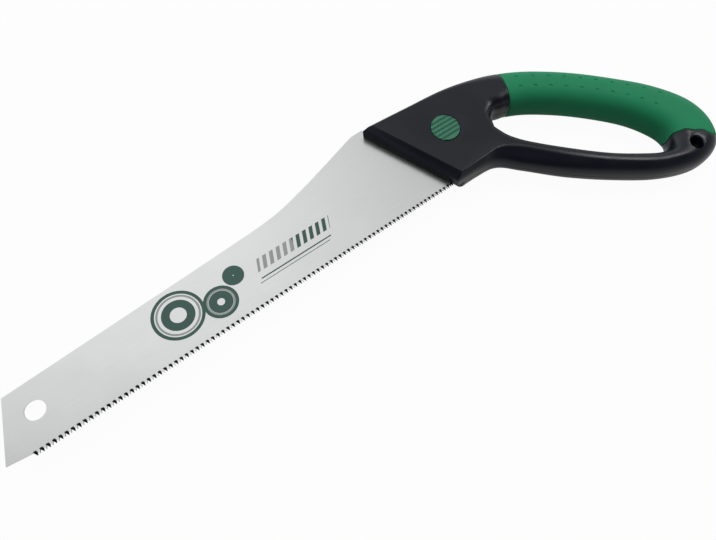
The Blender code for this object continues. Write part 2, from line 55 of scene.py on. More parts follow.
# Drawing frame: x along the teeth from the first one, y to the back of the blade, z up through the handle
drawing = {
    "tipReach": 12.2,    # the tip lies this far before the first tooth
    "toothHeight": 1.6,  # of the solid's teeth, and y starts halfway up them
}
bladeLow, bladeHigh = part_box("blade")
sawOrigin = Vector((bladeLow.x + drawing["tipReach"] * mm, bladeLow.y + drawing["toothHeight"] / 2 * mm,
                    (bladeLow.z + bladeHigh.z) / 2))


def drawnBox(node):  # a node's corners in the drawing's millimetres
    return [(corner - sawOrigin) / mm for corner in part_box(node)]


def middleOf(node):
    low, high = drawnBox(node)
    return (low + high) / 2


# Materials
def linear(hexColour):  # sRGB hex to linear
    channels = [int(hexColour[k:k + 2], 16) / 255 for k in (1, 3, 5)]
    return tuple(c / 12.92 if c <= 0.04045 else ((c + 0.055) / 1.055) ** 2.4 for c in channels) + (1.0,)


def newMaterial(name, colour, roughness, metallic=0.0, specular=0.5):
    material = bpy.data.materials.new(name)
    material.use_nodes = True
    shader = material.node_tree.nodes["Principled BSDF"]
    shader.inputs["Base Color"].default_value = linear(colour)
    shader.inputs["Roughness"].default_value = roughness
    shader.inputs["Metallic"].default_value = metallic
    shader.inputs["Specular IOR Level"].default_value = specular
    return material, material.node_tree, shader


def addNode(tree, kind, links, **settings):  # links take values, or the outputs to join
    made = tree.nodes.new(kind)
    for setting, value in settings.items():
        setattr(made, setting, value)
    for socket, value in links.items():
        if isinstance(value, bpy.types.NodeSocket):
            tree.links.new(value, made.inputs[socket])
        else:
            made.inputs[socket].default_value = value
    return next(output for output in made.outputs if output.enabled)


def drawnPlace(tree, scale=(1.0, 1.0, 1.0)):  # the surface's place in the drawing's millimetres, stretched
    place = tree.nodes.new("ShaderNodeTexCoord").outputs["Object"]
    stretch = [factor / mm for factor in scale]
    shift = [-sawOrigin[k] * stretch[k] for k in range(3)]
    return addNode(tree, "ShaderNodeMapping", {"Vector": place, "Location": shift, "Scale": stretch})


def grain(tree, place, size, detail=2.0):  # soft noise whose lumps measure the size in mm
    return addNode(tree, "ShaderNodeTexNoise", {"Vector": place, "Scale": 1 / size, "Detail": detail})


def mottled(tree, shader, noise, one, two):  # colour that wanders between two
    colour = addNode(tree, "ShaderNodeMix", {"Factor": noise, 6: linear(one), 7: linear(two)},
                     data_type='RGBA')  # a colour mix takes them at its inputs 6 and 7
    tree.links.new(colour, shader.inputs["Base Color"])


def hazed(tree, shader, noise, least, most):  # roughness that wanders between two values
    low, high = 0.3, 0.7  # nearly all of the noise lies between
    rough = addNode(tree, "ShaderNodeMapRange", {"Value": noise, "From Min": low, "From Max": high,
                                                 "To Min": least, "To Max": most})
    tree.links.new(rough, shader.inputs["Roughness"])


def roughened(tree, shader, height, depth, strength):  # bump of a real depth in mm
    bump = addNode(tree, "ShaderNodeBump", {"Height": height, "Distance": depth * mm, "Strength": strength})
    tree.links.new(bump, shader.inputs["Normal"])


def blackPlastic():
    # ABS moulded in a spark-eroded tool: near black, with a fine pebble that spreads the highlights
    material, tree, shader = newMaterial("sparkedBlackAbs", "#090c18", 0.32, specular=0.35)
    place = drawnPlace(tree)
    pebble = grain(tree, place, 0.45, 3.0)  # drawn about three times too coarse, or it would not show
    hazed(tree, shader, grain(tree, place, 22.0), 0.28, 0.36)
    mottled(tree, shader, pebble, "#070a15", "#0b0e1a")
    roughened(tree, shader, pebble, 0.02, 0.5)
    return material


def softGrip():
    # Thermoplastic rubber moulded over the shells: deep green and dull, with a dry bloom
    material, tree, shader = newMaterial("overmouldedGreenRubber", "#1e7b53", 0.6, specular=0.15)
    place = drawnPlace(tree)
    cloud = grain(tree, place, 16.0, 3.0)
    mottled(tree, shader, cloud, "#1b7750", "#208057")
    hazed(tree, shader, cloud, 0.56, 0.66)
    roughened(tree, shader, grain(tree, place, 0.5, 3.0), 0.03, 0.5)
    return material


def buttonPlastic():
    # Polypropylene, moulded with polished ribs: paler than the sleeve, a little waxy
    material, tree, shader = newMaterial("ribbedGreenPolypropylene", "#41806a", 0.42, specular=0.25)
    place = drawnPlace(tree)
    mottled(tree, shader, grain(tree, place, 5.0, 3.0), "#376f57", "#3f7860")
    roughened(tree, shader, grain(tree, place, 0.4), 0.02, 0.4)
    return material


# Print on the blade: rings, slanted bars and two rules, all of them generic
printed = {
    "green": "#1f4a40",
    "grey": "#8b918f",
    "rings": [((86.0, 22.0), 13.0), ((107.5, 15.5), 8.5), ((120.5, 25.0), 5.0)],  # middle and radius
    # Each ring's lines: ink, share of the radius and half width
    "ringLines": [("green", 1.0, 0.9), ("grey", 0.84, 0.55), ("green", 0.5, 2.2)],
    "bars": (134.0, 182.0, 18.5, 26.0),  # from x to x, from y to y, the first half grey
    "barPitch": 4.4,
    "barShare": 0.55,
    "barSlant": 0.45,
    "rules": [(155.0, 14.4, 23.0, 0.4), (153.0, 12.2, 23.0, 0.2)],  # middle x and y, half length and width
}


def printMasks(tree, place):  # for each ink, 1 where it lies
    axes = tree.nodes.new("ShaderNodeSeparateXYZ")
    tree.links.new(place, axes.inputs[0])
    x, y, z = axes.outputs
    masks = {"green": 0.0, "grey": 0.0}

    def inkOn(ink, mask):
        masks[ink] = addNode(tree, "ShaderNodeMath", {0: masks[ink], 1: mask}, operation='MAXIMUM')

    def boxMask(across, middleX, middleY, halfX, halfY):  # 1 inside the box
        inX = addNode(tree, "ShaderNodeMath", {0: across, 1: middleX, 2: halfX}, operation='COMPARE')
        inY = addNode(tree, "ShaderNodeMath", {0: y, 1: middleY, 2: halfY}, operation='COMPARE')
        return addNode(tree, "ShaderNodeMath", {0: inX, 1: inY}, operation='MULTIPLY')

    flat = addNode(tree, "ShaderNodeVectorMath", {0: place, 1: (1.0, 1.0, 0.0)}, operation='MULTIPLY')
    for middle, radius in printed["rings"]:
        distance = addNode(tree, "ShaderNodeVectorMath", {0: flat, 1: (*middle, 0.0)}, operation='DISTANCE')
        for ink, share, width in printed["ringLines"]:
            inkOn(ink, addNode(tree, "ShaderNodeMath", {0: distance, 1: radius * share, 2: width},
                               operation='COMPARE'))
    left, right, bottom, top = printed["bars"]
    middleX, middleY = (left + right) / 2, (bottom + top) / 2
    pitch, slant = printed["barPitch"], printed["barSlant"]
    slanted = addNode(tree, "ShaderNodeMath", {0: y, 1: -slant, 2: x}, operation='MULTIPLY_ADD')
    phase = addNode(tree, "ShaderNodeMath", {0: slanted, 1: pitch}, operation='MODULO')
    bars = addNode(tree, "ShaderNodeMath", {0: phase, 1: pitch * printed["barShare"]}, operation='LESS_THAN')
    inside = boxMask(slanted, middleX - slant * middleY, middleY, (right - left) / 2, (top - bottom) / 2)
    bars = addNode(tree, "ShaderNodeMath", {0: bars, 1: inside}, operation='MULTIPLY')
    for ink, operation in (("grey", 'LESS_THAN'), ("green", 'GREATER_THAN')):
        half = addNode(tree, "ShaderNodeMath", {0: x, 1: middleX}, operation=operation)
        inkOn(ink, addNode(tree, "ShaderNodeMath", {0: bars, 1: half}, operation='MULTIPLY'))
    for rule in printed["rules"]:
        inkOn("green", boxMask(x, *rule))
    front = addNode(tree, "ShaderNodeMath", {0: z, 1: 0.0}, operation='GREATER_THAN')
    return {ink: addNode(tree, "ShaderNodeMath", {0: mask, 1: front}, operation='MULTIPLY')
            for ink, mask in masks.items()}


def bladeSteel():
    # Cold-rolled spring steel, satin finished along the strip: pale grey, streaked lengthwise, printed
    material, tree, shader = newMaterial("satinSpringSteel", "#d2d4d3", 0.3, 1.0)
    place = drawnPlace(tree)
    streaks = grain(tree, drawnPlace(tree, (0.02, 1.0, 1.0)), 0.35, 3.0)
    colour = addNode(tree, "ShaderNodeMix", {"Factor": streaks, 6: linear("#cdcfce"), 7: linear("#d7d9d8")},
                     data_type='RGBA')
    masks = printMasks(tree, place)
    for ink in ("grey", "green"):
        colour = addNode(tree, "ShaderNodeMix", {"Factor": masks[ink], 6: colour, 7: linear(printed[ink])},
                         data_type='RGBA')
    tree.links.new(colour, shader.inputs["Base Color"])
    inked = addNode(tree, "ShaderNodeMath", {0: masks["green"], 1: masks["grey"]}, operation='MAXIMUM')
    bare = addNode(tree, "ShaderNodeMath", {0: 1.0, 1: inked}, operation='SUBTRACT')
    tree.links.new(bare, shader.inputs["Metallic"])
    hazed(tree, shader, grain(tree, place, 30.0), 0.27, 0.33)
    roughened(tree, shader, streaks, 0.004, 0.5)
    return material


def hardenedSteelAndPaintedReflection():
    # Tooth facets, ground after induction hardening: blue black, with grinding lines. The same dark steel is
    # also laid on the cell above every second gullet as a painted dark reflection of the set teeth
    material, tree, shader = newMaterial("hardenedToothSteelAndPaintedReflection", "#26282c", 0.35, 1.0)
    mottled(tree, shader, grain(tree, drawnPlace(tree, (1.0, 0.1, 1.0)), 0.2), "#1c1e22", "#34373c")
    return material


def platedSteel():
    # Cold-headed steel, zinc plated and clear passivated: soft grey with a faint mottle
    material, tree, shader = newMaterial("zincPlatedSteel", "#b9bbbd", 0.35, 1.0)
    mottle = grain(tree, drawnPlace(tree), 1.6, 3.0)
    mottled(tree, shader, mottle, "#aeb1b5", "#c4c6c6")
    hazed(tree, shader, mottle, 0.28, 0.42)
    return material


def springWire():
    # Music wire, drawn through a die: darker grey with fine lines
    material, tree, shader = newMaterial("drawnMusicWire", "#9c9ea1", 0.32, 1.0)
    mottled(tree, shader, grain(tree, drawnPlace(tree), 0.3, 3.0), "#8d9094", "#a9abad")
    return material


absBlack = blackPlastic()
gripGreen = softGrip()
buttonGreen = buttonPlastic()
steelSatin = bladeSteel()
steelHardAndPaintedReflection = hardenedSteelAndPaintedReflection()
steelPlated = platedSteel()
wireDrawn = springWire()
print("materials made")


# Making and carving pieces
overcut = 1.0  # how far cuts run past what they cut


def meshFrom(work, name):  # uses the bmesh up
    mesh = bpy.data.meshes.new(name)
    work.to_mesh(mesh)
    work.free()
    return mesh


def placed(name, data):  # puts an object with the data into the scene
    thing = bpy.data.objects.new(name, data)
    bpy.context.scene.collection.objects.link(thing)
    return thing


def everything(work):
    return work.verts[:] + work.edges[:] + work.faces[:]


def finishPiece(name, work, materials, body, replaced, smoothAngle=30.0):
    bmesh.ops.transform(work, matrix=Matrix.Translation(sawOrigin) @ Matrix.Scale(mm, 4), verts=work.verts)
    mesh = meshFrom(work, name)
    mesh.shade_smooth()
    mesh.set_sharp_from_angle(angle=math.radians(smoothAngle))
    for material in materials:
        mesh.materials.append(material)
    piece = placed(name, mesh)
    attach(piece, body)
    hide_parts(replaced)
    return piece


def carve(work, *cuts, folded=False):  # takes every cut away from the work, and uses them all up
    for solid in (work, *cuts):
        bmesh.ops.recalc_face_normals(solid, faces=solid.faces)
    target, *tools = [placed("carving", meshFrom(solid, "carving")) for solid in (work, *cuts)]
    for tool in tools:
        boolean = target.modifiers.new("cut", 'BOOLEAN')
        boolean.operation = 'DIFFERENCE'
        boolean.solver = 'EXACT'
        boolean.use_self = folded  # for work that crosses itself, as a deep inset does in a tight bend
        boolean.object = tool
    graph = bpy.context.evaluated_depsgraph_get()
    result = bmesh.new()
    result.from_mesh(target.evaluated_get(graph).to_mesh())
    for thing in [target, *tools]:
        bpy.data.objects.remove(thing)
    return result


def mirrored(work, side):  # side is 1 for the button's half and -1 for the other
    bmesh.ops.scale(work, vec=(1, 1, side), verts=work.verts)
    bmesh.ops.recalc_face_normals(work, faces=work.faces)
    return work


def turnedSolid(profile, centre, steps=48):  # (radius, height) points, spun round an upright axis
    work = bmesh.new()
    line = [work.verts.new((radius, 0.0, height)) for radius, height in profile]
    edges = [work.edges.new(pair) for pair in zip(line, line[1:])]
    bmesh.ops.spin(work, geom=line + edges, cent=(0, 0, 0), axis=(0, 0, 1), angle=2 * math.pi,
                   steps=steps, use_merge=True)
    bmesh.ops.remove_doubles(work, verts=work.verts, dist=0.001)
    bmesh.ops.recalc_face_normals(work, faces=work.faces)
    bmesh.ops.translate(work, vec=(centre[0], centre[1], 0.0), verts=work.verts)
    return work


def plateSolid(outline, low, high):
    work = bmesh.new()
    face = work.faces.new([work.verts.new((x, y, low)) for x, y in outline])
    raised = bmesh.ops.extrude_face_region(work, geom=[face])
    lifted = [item for item in raised["geom"] if isinstance(item, bmesh.types.BMVert)]
    bmesh.ops.translate(work, vec=(0, 0, high - low), verts=lifted)
    bmesh.ops.recalc_face_normals(work, faces=work.faces)
    return work


def roundBar(centre, radius, low, high, steps=32):
    return turnedSolid([(0.0, low), (radius, low), (radius, high), (0.0, high)], centre, steps)


def rectangle(left, bottom, right, top):
    return [(left, bottom), (right, bottom), (right, top), (left, top)]


def roundedRim(radius, top, curve, steps=6):  # (radius, height) points of an outer rim, from side to top
    points = []
    for k in range(steps + 1):
        angle = math.pi / 2 * k / steps
        points.append((radius - curve * (1 - math.cos(angle)), top - curve * (1 - math.sin(angle))))
    return points


def flaredRim(radius, top, curve, steps=6):  # the same for the rim of a hole
    return [(2 * radius - across, height) for across, height in roundedRim(radius, top, curve, steps)]


# Handle: sections round the ring, from the head's front top clockwise to its front bottom.
# Each has its outer point, opening point, half thickness, outer edge and opening edge.
# An edge has its reach in plan, its fall, and how steeply it leaves the top in degrees.
handle = {
    "wall": 2.5,             # of the shells
    "skin": 2.3,             # of the soft sleeve
    "gap": 0.3,              # between pieces
    "frontTop": (232.0, 60.5),
    "frontBottom": (259.7, -1.2),
    "headSpan": (-12.0, 72.0),  # from below the head's front to above it
    "noseWidth": 5.5,        # the front shell slopes down so far ahead of the back shell
    "noseDrop": 2.8,
    "noseRound": 0.6,
    "frontSeam": 3.95,       # stations where the sleeve starts and ends
    "rearSeam": 11.0,
    "seamLip": 0.45,         # rounding on each side of a seam
    "seamStep": 0.1,         # run of the step under the sleeve's end
    "seamClear": 0.08,       # stations without another section, on each side of a seam
    "fullness": 0.66,        # 0.55 rounds an edge like an ellipse, more is squarer
    "crestRound": 1.6,
    "leastEdge": 0.6,        # least reach and fall of an edge, and least flat between two
    "leastSide": 0.4,        # least upright side under an edge
    "leastLean": 0.3,        # keeps edges short where the outline turns along its section
    "hollowHeight": 3.0,     # where cuts that start in the hollow begin
    "bossTop": 12.0,         # above the hollow
    "outside": 14.0,         # above the thickest half
    "rows": 6,               # between stations
    "edgeSteps": 12,
}
lipCurve = [(2.0, 0.0), (1.0, 0.12), (0.4, 0.4), (0.0, 1.0)]  # run and draw-in, as shares of the lip
nudge = 0.01                 # stations, for slopes
stations = [
    ((226.0, 59.0), (307.4, 19.2), 9.0, (2.0, 2.0, 0), (5.0, 5.0)),
    ((262.0, 57.2), (308.6, 22.2), 9.0, (2.0, 2.0, 0), (6.0, 6.0)),
    ((294.0, 55.7), (314.0, 25.0), 9.5, (4.0, 4.0, 0), (7.0, 7.0)),
    ((318.0, 52.0), (320.0, 23.5), 11.0, (9.0, 9.0, 0), (9.0, 9.0)),
    ((334.5, 47.0), (326.0, 21.5), 12.0, (13.0, 12.0, 0), (12.0, 12.0)),
    ((355.0, 36.0), (339.5, 15.3), 12.5, (13.0, 12.5, 0), (12.0, 12.5)),
    ((378.0, 20.0), (359.5, 1.3), 12.5, (13.0, 12.5, 0), (12.0, 12.5)),
    ((400.0, 1.0), (379.0, -16.0), 12.5, (13.0, 12.5, 0), (12.0, 12.5)),
    ((420.5, -19.5), (394.0, -32.5), 12.5, (13.0, 12.5, 0), (12.0, 12.5)),
    ((435.0, -41.0), (402.5, -48.0), 12.5, (14.0, 12.5, 0), (13.0, 12.5)),
    ((439.2, -60.0), (404.0, -57.0), 12.0, (14.0, 12.0, 0), (13.0, 12.0)),
    ((434.2, -76.5), (401.5, -62.0), 11.5, (14.0, 11.0, 0), (13.0, 11.0)),
    ((422.5, -84.79), (396.5, -64.5), 11.0, (12.5, 11.0, 4), (11.0, 11.0)),
    ((403.5, -84.99), (389.5, -63.5), 10.5, (9.5, 10.0, 14), (8.5, 10.0)),
    ((378.0, -75.0), (380.0, -58.5), 9.5, (8.4, 9.5, 22), (6.5, 9.5)),
    ((351.5, -57.5), (358.6, -44.0), 9.5, (8.8, 9.5, 25), (6.0, 9.5)),
    ((326.2, -37.8), (338.0, -26.0), 9.5, (9.6, 9.5, 26), (5.5, 9.5)),
    ((304.7, -17.6), (320.5, -8.5), 9.0, (11.0, 9.0, 26), (5.5, 9.0)),
    ((292.4, -6.3), (310.6, 3.6), 9.0, (8.3, 8.7, 26), (6.0, 7.0)),
    ((278.0, -3.3), (307.0, 11.6), 9.0, (3.8, 7.0, 28), (6.0, 6.0)),
    ((252.0, -3.2), (305.6, 15.0), 9.0, (2.4, 5.0, 26), (5.0, 5.0)),
]
seamBend = {  # how the rear seam leaves its section, in stations, from the outer side to the opening
    "reach": 1.6,
    "shape": [(0.0, 0.3), (0.3, 0.22), (0.5, -0.1), (0.7, -0.6), (0.85, -0.8), (1.0, -0.6)],
}

frontAlong = (Vector(handle["frontBottom"]) - Vector(handle["frontTop"])).normalized()
frontBack = Vector((-frontAlong.y, frontAlong.x))
outerPath, openingPath, outerEdges, openingEdges = [[Vector(station[k]) for station in stations]
                                                    for k in (0, 1, 3, 4)]
halfPath = [station[2] for station in stations]
headHalf = halfPath[0]


def smoothly(values, t):  # a smooth curve through the values, read at t
    last = len(values) - 1
    k = min(int(t), last - 1)
    part = t - k
    two, three = values[k], values[k + 1]
    one = values[k - 1] if k > 0 else 2 * two - three
    four = values[k + 2] if k + 2 <= last else 2 * three - two
    return 0.5 * (2 * two + (three - one) * part + (2 * one - 5 * two + 4 * three - four) * part ** 2
                  + (3 * two - one - 3 * three + four) * part ** 3)


def rateAt(values, k):
    if not 0 < k < len(values) - 1:
        return 0.0
    before, after = values[k] - values[k - 1], values[k + 1] - values[k]
    return 2 * before * after / (before + after) if before * after > 0 else 0.0


def steadily(values, t):  # the same for single values, never beyond the two at its ends
    k = min(int(t), len(values) - 2)
    part, rise = t - k, values[k + 1] - values[k]
    start, end = rateAt(values, k), rateAt(values, k + 1)
    return (values[k] + start * part + (3 * rise - 2 * start - end) * part ** 2
            + (start + end - 2 * rise) * part ** 3)


def stationStep(t, distance):  # change of t that moves the section's middle by the distance
    middles = [smoothly(outerPath, t + d) + smoothly(openingPath, t + d) for d in (nudge, -nudge)]
    return distance * 2 * nudge / ((middles[0] - middles[1]).length / 2)


def leanOf(path, t, across):
    along = (smoothly(path, t + nudge) - smoothly(path, t - nudge)).normalized()
    return max(abs(across.cross(along)), handle["leastLean"])


def edgeCurve(reach, fall, crest):  # (run, height under the top), from the side up to the top
    full = handle["fullness"]
    slope = math.radians(crest)
    side, top = Vector((0.0, -fall)), Vector((reach, 0.0))
    sidePull = Vector((0.0, -fall + fall * full))
    topPull = top - reach * full * Vector((math.cos(slope), math.sin(slope)))
    steps = handle["edgeSteps"]
    points = []
    for k in range(steps + 1):
        u = k / steps
        points.append(side * (1 - u) ** 3 + sidePull * 3 * u * (1 - u) ** 2
                      + topPull * 3 * u * u * (1 - u) + top * u ** 3)
    return points


def sectionAt(t, inset, low):  # the upper half of the section, from low round to low
    t = max(0.0, min(len(stations) - 1.0, t))
    outer, opening = smoothly(outerPath, t), smoothly(openingPath, t)
    across = (opening - outer).normalized()
    leans = leanOf(outerPath, t, across), leanOf(openingPath, t, across)
    outer = outer + across * inset / leans[0]
    opening = opening - across * inset / leans[1]
    width = (opening - outer).length
    half = steadily(halfPath, t) - inset
    edges = smoothly(outerEdges, t), smoothly(openingEdges, t)
    least, crown = handle["leastEdge"], handle["crestRound"]
    falls = [min(max(edge.y - inset, least), half - max(low, 0.0) - handle["leastSide"]) for edge in edges]
    reaches = [max(edge.x - inset, least) / lean for edge, lean in zip(edges, leans)]
    fit = min(1.0, width / (reaches[0] + reaches[1] + crown + least))
    left = edgeCurve(reaches[0] * fit, falls[0], max(edges[0].z, 0.0))
    right = edgeCurve(reaches[1] * fit, falls[1], 0.0)
    crest = left.pop()
    before, beyond = left[-1], crest + Vector((crown * fit, 0.0))
    for u in (0.25, 0.5, 0.75, 1.0):  # rounds the crest
        left.append(before * (1 - u) ** 2 + crest * 2 * u * (1 - u) + beyond * u * u)
    flat = [(0.0, low)] + [(point.x, half + point.y) for point in left]
    flat += [(width - point.x, half + point.y) for point in reversed(right)] + [(width, low)]
    return [(outer.x + across.x * run, outer.y + across.y * run, height) for run, height in flat]


def seamShape(u):
    for (start, one), (end, two) in zip(seamBend["shape"], seamBend["shape"][1:]):
        if u <= end:
            part = (u - start) / (end - start)
            return one + (two - one) * part * part * (3 - 2 * part)


def bentRow(t, inset, low):  # a section that bends with the rear seam where it is near
    pull = max(0.0, 1.0 - abs(t - handle["rearSeam"]) / seamBend["reach"])
    if pull == 0.0:
        return sectionAt(t, inset, low)
    pull = pull * pull * (3 - 2 * pull)
    last = len(sectionAt(t, inset, low)) - 1
    return [sectionAt(t + pull * seamShape(k / last), inset, low)[k] for k in range(last + 1)]


def loft(rows, closed):  # skin over loops of points
    work = bmesh.new()
    loops = []
    for row in rows:
        corners = [work.verts.new(point) for point in row]
        loops.append([work.edges.new(pair) for pair in zip(corners, corners[1:] + corners[:1])])
    pairs = list(zip(loops, loops[1:] + loops[:1])) if closed else list(zip(loops, loops[1:]))
    for one, two in pairs:
        bmesh.ops.bridge_loops(work, edges=one + two)
    if not closed:
        for loop in (loops[0], loops[-1]):
            bmesh.ops.edgeloop_fill(work, edges=loop)
    bmesh.ops.recalc_face_normals(work, faces=work.faces)
    return work


def sliceOff(work, point, normal):
    cut = bmesh.ops.bisect_plane(work, geom=everything(work), plane_co=point, plane_no=normal,
                                 clear_outer=True)
    edges = [item for item in cut["geom_cut"] if isinstance(item, bmesh.types.BMEdge)]
    bmesh.ops.edgeloop_fill(work, edges=edges)


def sliceRound(work, corner, one, two, radius, steps=3):  # rounds the edge where two slices meet
    one, two = Vector(one).normalized(), Vector(two).normalized()
    centre = Vector(corner) - (one + two) * radius / (1 + one.dot(two))
    for k in range(1, steps + 1):
        normal = one.slerp(two, k / (steps + 1))
        sliceOff(work, centre + normal * radius, normal)


def ringRows(inset, low, recess, shift, rowShift):  # the recess lets the sleeve in, the shift widens it
    front = handle["frontSeam"] - stationStep(handle["frontSeam"], shift)
    rear = handle["rearSeam"] + stationStep(handle["rearSeam"], shift)
    count = int((len(stations) - 1) * handle["rows"] + 1 - rowShift)
    places = [(k + rowShift) / handle["rows"] for k in range(count)]
    plan = [(t, inset + (recess if front < t < rear else 0.0)) for t in places
            if min(abs(t - front), abs(t - rear)) > handle["seamClear"]]
    lip = handle["seamLip"]
    lips = [(0.0, 0.0)] if shift else [(out * lip, drop * lip) for out, drop in lipCurve]
    for out, drop in [*lips, (-handle["seamStep"], recess)]:
        plan.append((front - stationStep(front, out), inset + drop))
        plan.append((rear + stationStep(rear, out), inset + drop))
    rows = [bentRow(t, drawIn, low) for t, drawIn in sorted(plan)]
    bridge = 6  # rows across the part in front of the head, which is sliced off
    for k in range(1, bridge):
        rows.append([Vector(a).lerp(Vector(b), k / bridge) for a, b in zip(rows[len(plan) - 1], rows[0])])
    return rows


def halfRing(side, inset, low, recess, shift, rowShift=0.0, rounding=0.0):
    work = loft(ringRows(inset, low, recess, shift, rowShift), closed=True)
    nose, drop = handle["noseWidth"], handle["noseDrop"]
    start = Vector(handle["frontTop"]) + frontBack * (inset if side > 0 else nose + inset)
    forward, up = Vector((*-frontBack, 0.0)), Vector((0.0, 0.0, 1.0))
    sliceOff(work, (*start, 0.0), forward)
    if side > 0:
        rim = Vector((*start, headHalf - drop - inset))
        slope = Vector((*(-frontBack * drop), nose))
        sliceOff(work, rim, slope)
        if rounding:
            sliceRound(work, rim, forward, slope, rounding)
            sliceRound(work, rim + Vector((*(frontBack * nose), drop)), slope, up, rounding)
    elif rounding:
        sliceRound(work, (*start, headHalf), forward, up, rounding)
    return mirrored(work, side)


def frontPoint(y, behind=0.0):
    start = Vector(handle["frontTop"]) + frontBack * behind
    return (start.x + frontAlong.x * (y - start.y) / frontAlong.y, y)


def frontStrip(bottom, top, reach):  # outline along the head's front, so deep behind it
    return [frontPoint(y, behind) for behind, y in rectangle(-overcut, bottom, reach, top)]


# Hole through the rear corner, sunk from each side in a wider round that leans towards the grip
cornerHole = {
    "centre": (413.5, -74.5),
    "radius": 4.0,
    "wall": 1.8,
    "sunkAbove": 5.0,
    "sunkSlope": 0.6,
    "sunkRadius": 4.9,
    "sunkShift": (-2.8, 1.2),
    "rimRound": 0.9,
    "top": 11.0,                        # the rim's height
    "flare": [(1.5, 0.3), (3.0, 4.0)],  # outward and upward past the rim
}
screwNames = ["shell_screw_%d" % number for number in range(1, 6)]
screws = {
    "clearance": 0.3,
    "wall": 1.6,          # of the bosses
    "headHeight": 2.0,
    "headRound": 0.7,
    "shank": 1.5,         # its radius
    "point": 1.2,
    "recessReach": 1.7,   # half length and half width of each arm of the cross, and its depth
    "recessWidth": 0.45,
    "recessDepth": 1.0,
}
button = {
    "radius": 9.25,
    "holeRound": 0.5,
    "edgeRound": 0.5,
    "grooves": 5,
    "grooveMargin": 1.2,         # in pitches, beside the outer grooves
    "grooveWidth": 2.0,
    "grooveDepth": 0.75,
    "grooveFloor": (-0.4, 0.2),  # from and to, as shares of the half width
    "flangeHeight": 1.3,
    "crown": 1.6,                # thickness under the grooves
    "skirt": 1.5,                # wall round the underside
    "socket": 4.3,               # outer radius of the post that takes the plunger
    "bore": 2.8,
    "boreDepth": 3.7,
}


def cornerCut(side):
    radius, sunk, floor, top = [cornerHole[key] for key in ("radius", "sunkRadius", "sunkAbove", "top")]
    slope, flare = cornerHole["sunkSlope"], cornerHole["flare"]
    rim = flaredRim(sunk, top, cornerHole["rimRound"])
    profile = [(0.0, -overcut), (radius, -overcut), (radius, floor), (sunk, floor + slope), *rim,
               *[(rim[-1][0] + out, top + up) for out, up in flare], (0.0, top + flare[-1][1])]
    cut = turnedSolid(profile, cornerHole["centre"])
    for corner in cut.verts:
        if corner.co.z > floor + slope / 2:
            corner.co += Vector((*cornerHole["sunkShift"], 0.0))
    return mirrored(cut, side)


def boss(centre, radius, side):
    return mirrored(roundBar(centre, radius, handle["gap"] / 2, handle["bossTop"]), side)


def shellCuts(side):
    gap, nose, inside = handle["gap"], handle["noseWidth"], handle["hollowHeight"]
    low, high = drawnBox("guide_plate_front")
    tang = plateSolid(frontStrip(low.y - gap, high.y + gap, nose + 2 * handle["wall"]), -overcut, low.z)
    cuts = [cornerCut(side), mirrored(tang, side)]
    if side > 0:
        cuts.append(plateSolid(frontStrip(*handle["headSpan"], nose + gap), -overcut, low.z))
        hole, curve, top = button["radius"] + gap, button["holeRound"], headHalf + overcut
        profile = [(0.0, inside), (hole, inside), *flaredRim(hole, headHalf, curve),
                   (hole + curve + overcut, top), (0.0, top)]
        cuts.append(turnedSolid(profile, middleOf("release_button"), steps=64))
    else:
        low, high = drawnBox("button_spring")
        well = roundBar(middleOf("button_spring"), (high.x - low.x) / 2 + gap, inside, gap / 2 - low.z,
                        steps=48)
        cuts.append(mirrored(well, side))
    bore = screws["shank"] + screws["clearance"]
    for name in screwNames:
        low, high = drawnBox(name)
        if side > 0:
            cuts.append(roundBar(middleOf(name), bore, -overcut, high.z + gap))
        else:
            shelf, top = -low.z - screws["headHeight"] - gap, handle["outside"]
            headBore = (high.x - low.x) / 2 + screws["clearance"]
            profile = [(0.0, -overcut), (bore, -overcut), (bore, shelf), (headBore, shelf), (headBore, top),
                       (0.0, top)]
            cuts.append(mirrored(turnedSolid(profile, middleOf(name), steps=32), side))
    return cuts


def makeShell(name, side, replaced):
    step = handle["skin"] + handle["gap"]
    shell = halfRing(side, 0.0, handle["gap"] / 2, step, 0.0, rounding=handle["noseRound"])
    # The hollow's rows lie between those of the outside
    hollow = halfRing(side, handle["wall"], -overcut, step, handle["wall"], rowShift=0.5)
    bosses = [boss(cornerHole["centre"], cornerHole["radius"] + cornerHole["wall"], side)]
    for screwName in screwNames:
        low, high = drawnBox(screwName)
        bore = screws["shank"] if side > 0 else (high.x - low.x) / 2
        bosses.append(boss(middleOf(screwName), bore + screws["clearance"] + screws["wall"], side))
    shell = carve(shell, carve(hollow, *bosses, folded=True), *shellCuts(side))
    return finishPiece(name, shell, [absBlack], "saw_body", replaced)


makeShell("shellFront", 1, "handle_shell_front")
makeShell("shellBack", -1, "handle_shell_back")
print("shells made")

# Soft sleeve with two staggered rows of dimples on each side
sleeve = {
    "dimples": 10,
    "dimpleSize": (2.9, 1.7, 0.9),           # along, across and deep
    "dimplePitch": 11.0,
    "rows": [(4.48, 0.373), (4.55, 0.613)],  # first station, share across
}


def sleeveLoft(inset, start, end, lip):
    count = int((end - start) * handle["rows"])
    plan = [(start + (end - start) * k / count, inset) for k in range(count + 1)]
    clear = handle["seamClear"]
    if lip:
        plan = [(t, drawIn) for t, drawIn in plan if start + clear < t < end - clear]
        for out, drop in lipCurve:
            plan.append((start + stationStep(start, out * lip), inset + drop * lip))
            plan.append((end - stationStep(end, out * lip), inset + drop * lip))
    rows = []
    for t, drawIn in sorted(plan):
        upper = bentRow(t, drawIn, 0.0)
        rows.append(upper + [(x, y, -z) for x, y, z in reversed(upper[1:-1])])
    return loft(rows, closed=False)


